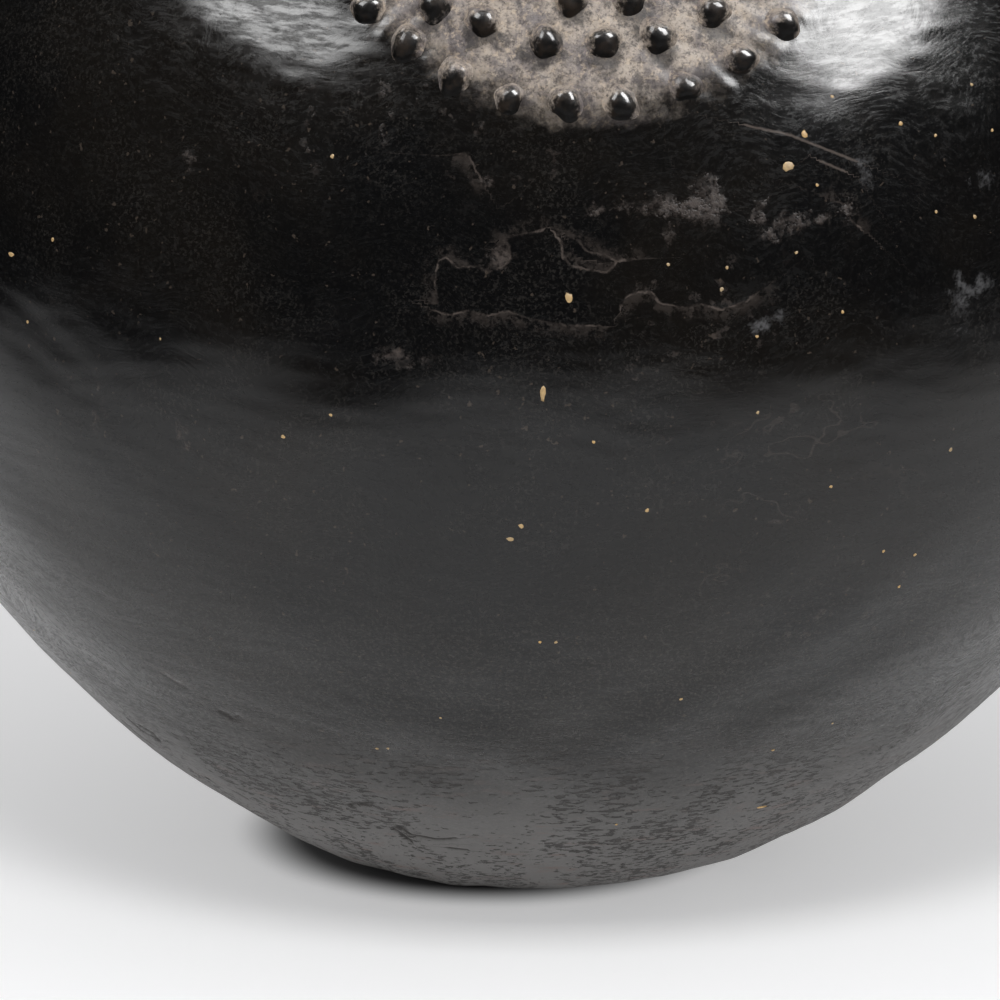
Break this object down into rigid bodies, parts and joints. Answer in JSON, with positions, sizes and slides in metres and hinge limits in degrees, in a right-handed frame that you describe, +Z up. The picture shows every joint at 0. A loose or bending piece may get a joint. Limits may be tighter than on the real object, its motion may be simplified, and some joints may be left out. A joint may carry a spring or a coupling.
{
  "type": "clay beer pot",
  "caption": "Round coil-built clay beer pot with a flat base, closed-in shoulder, flat-rimmed mouth and half-moon panels of raised pellets.",
  "frame": {"origin": "centre of the flat base, on the surface that the pot stands on", "axes": "+Z up along the pot's axis; the middle of one pellet panel faces -Y"},
  "size_m": [0.34, 0.34, 0.3039],
  "materials": {
    "burnished_clay": "smoke-blackened fired clay, greased and burnished to a soft gloss",
    "pellet_clay": "smoke-blackened fired clay, polished on the tops of the pellets"
  },
  "bodies": {
    "root": {"base_pad": "burnished_clay", "wall_coil_1": "burnished_clay", "wall_coil_2": "burnished_clay", "wall_coil_3": "burnished_clay", "wall_coil_4": "burnished_clay", "wall_coil_5": "burnished_clay", "wall_coil_6": "burnished_clay", "wall_coil_7": "burnished_clay", "wall_coil_8": "burnished_clay", "lip_coil": "burnished_clay", "pellet_panel_1": "pellet_clay", "pellet_panel_2": "pellet_clay", "pellet_panel_3": "pellet_clay"}
  },
  "joints": []
}
